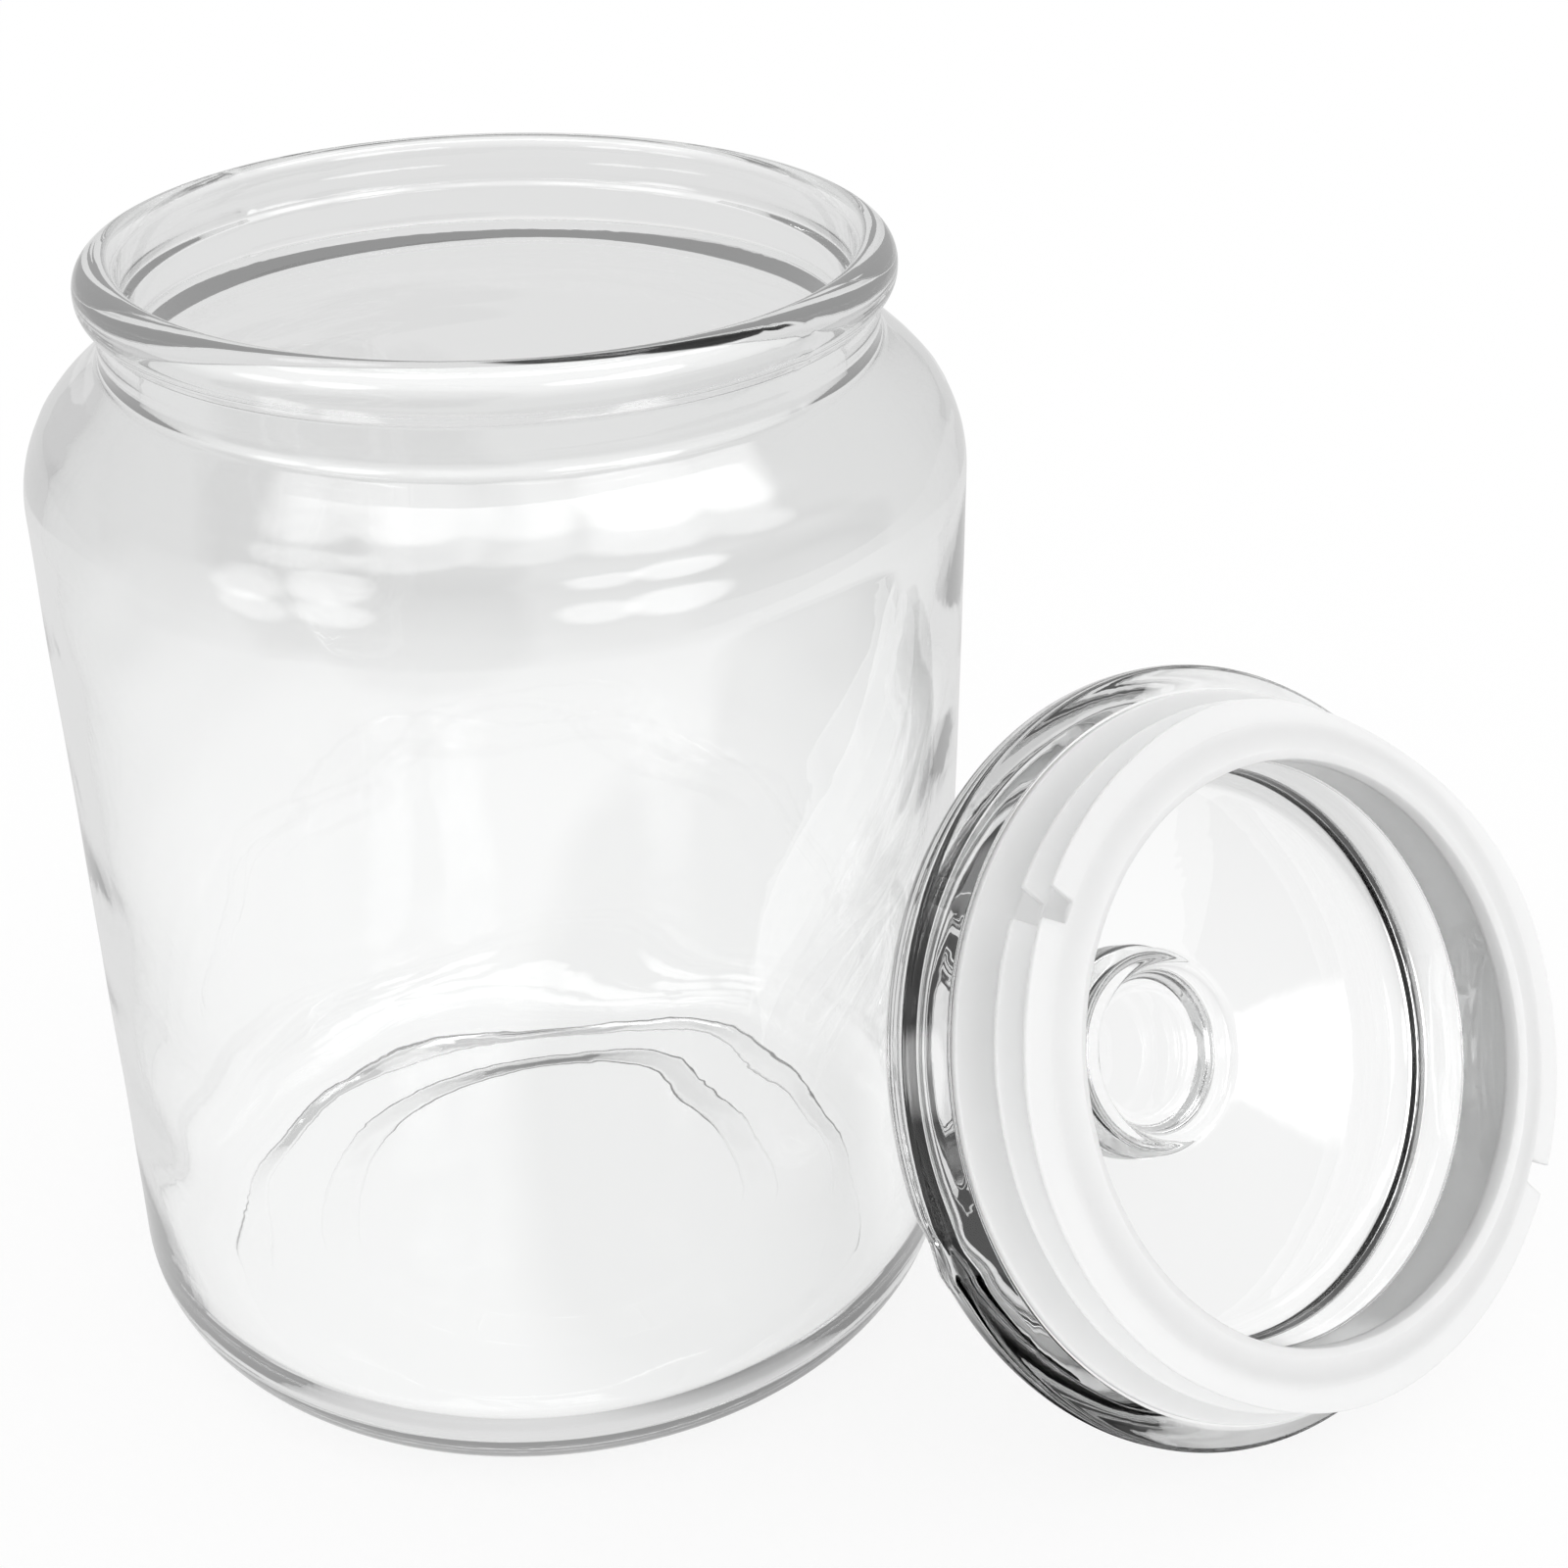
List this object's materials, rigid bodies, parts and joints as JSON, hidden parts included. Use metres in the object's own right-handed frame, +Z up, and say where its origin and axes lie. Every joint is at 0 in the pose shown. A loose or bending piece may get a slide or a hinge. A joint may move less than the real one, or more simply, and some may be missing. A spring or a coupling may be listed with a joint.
{
  "type": "glass storage jar",
  "caption": "Wide-mouthed cylindrical clear glass storage jar with rounded shoulder and rim bead, its knobbed glass lid with a finned plastic gasket taken off and leaned against its side.",
  "frame": {"origin": "centre of the jar's base, on the surface that it stands on", "axes": "+Z up along the jar's axis; the lid leans at the jar's +X side, a little in front, with its open side facing -Y and +X"},
  "size_m": [0.2873, 0.2031, 0.218],
  "materials": {
    "jar_glass": "clear pressed and blown glass, smooth and slightly wavy",
    "lid_glass": "clear pressed glass, thick, smooth and slightly wavy",
    "gasket": "translucent milky soft plastic, satin"
  },
  "bodies": {
    "root": {"jar": "jar_glass", "lid": "lid_glass", "gasket": "gasket"}
  },
  "joints": []
}
